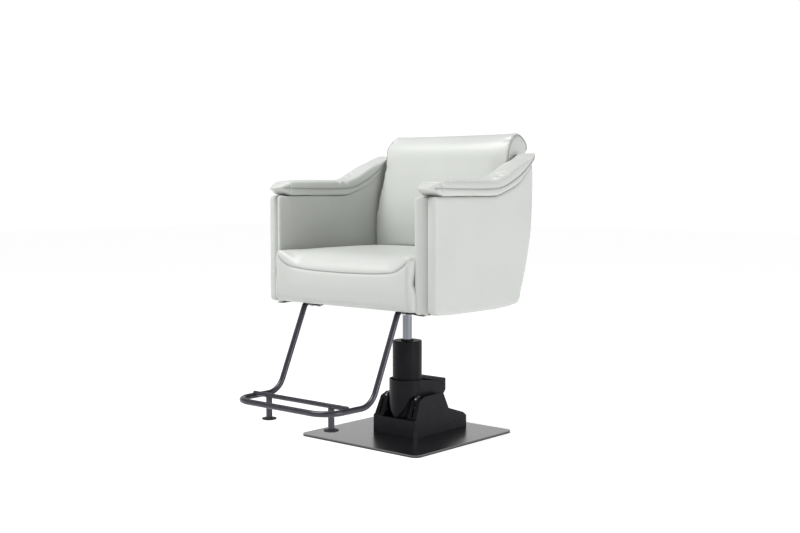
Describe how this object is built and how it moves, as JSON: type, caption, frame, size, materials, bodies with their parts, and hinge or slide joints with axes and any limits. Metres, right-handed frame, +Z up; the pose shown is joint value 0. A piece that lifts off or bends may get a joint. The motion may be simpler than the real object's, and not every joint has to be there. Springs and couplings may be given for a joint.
{
  "type": "hydraulic styling chair",
  "caption": "Tub-shaped upholstered salon chair with padded armrests, on a foot-pumped telescopic column with a square base plate and a hanging tube footrest.",
  "frame": {"origin": "on the floor under the middle of the square base plate, on the column's axis", "axes": "+Z up along the column; the sitter faces -Y; +X is to the right of someone who looks at the front of the chair"},
  "size_m": [0.644, 0.803, 0.8945],
  "materials": {
    "plate_black": "satin black powder coat",
    "pump_iron": "painted casting",
    "tube_steel": "turned steel",
    "sleeve_black": "satin black",
    "cover_black": "moulded, fine texture",
    "pedal_black": "moulded, fine texture",
    "tread_black": "ribbed",
    "seal_black": "moulded",
    "screw_black": "black oxide",
    "bolt_zinc": "zinc plated",
    "rod_chrome": "polished",
    "brass": "turned",
    "seat_steel": "satin black",
    "plywood": "black-stained plywood",
    "lining_black": "non-woven lining",
    "seat_leather": "smooth pale grey upholstery leather",
    "shell_leather": "smooth pale grey upholstery leather",
    "footrest_grey": "gunmetal powder coat",
    "foot_rubber": "moulded",
    "spring_steel": "drawn wire"
  },
  "bodies": {
    "base": {"base_plate": "plate_black", "base_bolts": "bolt_zinc", "pump_housing": "pump_iron", "cylinder_tube": "tube_steel", "reservoir_tube": "pump_iron", "rod_guide": "tube_steel", "rod_seal": "seal_black", "wiper_ring": "seal_black", "column_sleeve": "sleeve_black", "lower_cover": "cover_black", "cover_screws": "screw_black", "pivot_bracket": "tube_steel", "pivot_pins": "bolt_zinc", "release_valve": "brass", "plunger_spring": "spring_steel"},
    "plunger": {"pump_plunger": "tube_steel"},
    "pedal": {"pump_pedal": "pedal_black", "pedal_tread": "tread_black", "pedal_cam": "tube_steel", "tread_screws": "screw_black"},
    "piston": {"piston_rod": "rod_chrome", "piston_head": "tube_steel", "piston_ring": "seal_black"},
    "seat": {"swivel_socket": "seat_steel", "thrust_washer": "brass", "seat_plate": "seat_steel", "plate_bolts": "bolt_zinc", "seat_board": "plywood", "dust_cover": "lining_black", "seat_cushion": "seat_leather", "back_cushion": "seat_leather", "back_frame": "plywood", "back_shell": "shell_leather", "arm_shell_left": "shell_leather", "arm_shell_right": "shell_leather", "arm_liner_left": "shell_leather", "arm_liner_right": "shell_leather", "arm_frame_left": "plywood", "arm_frame_right": "plywood", "armrest_pad_left": "seat_leather", "armrest_pad_right": "seat_leather", "frame_bolts": "bolt_zinc", "footrest_tube": "footrest_grey", "footrest_crossbar": "footrest_grey", "footrest_legs": "footrest_grey", "footrest_feet": "foot_rubber", "footrest_clamps": "seat_steel", "clamp_bolts": "bolt_zinc"}
  },
  "joints": [
    {"name": "lift", "type": "slide", "parent": "base", "child": "piston", "axis": [0, 0, 1], "range_m": [-0.075, 0.06]},
    {"name": "swivel", "type": "hinge", "parent": "piston", "child": "seat", "pos_m": [0, 0, 0.4], "axis": [0, 0, 1], "continuous": true},
    {"name": "pump_pedal", "type": "hinge", "parent": "base", "child": "pedal", "pos_m": [0, -0.018, 0.112], "axis": [-1, 0, 0], "range_deg": [0, 7], "stiffness_Nm_per_rad": 40, "springref_deg": -6.88},
    {"name": "plunger_slide", "type": "slide", "parent": "base", "child": "plunger", "axis": [0, 0, -1], "range_m": [0, 0.0125], "deforming": ["plunger_spring"]}
  ],
  "couplings": [
    {"joint": "plunger_slide", "follows": "pump_pedal", "m_per_rad": 0.0945}
  ]
}
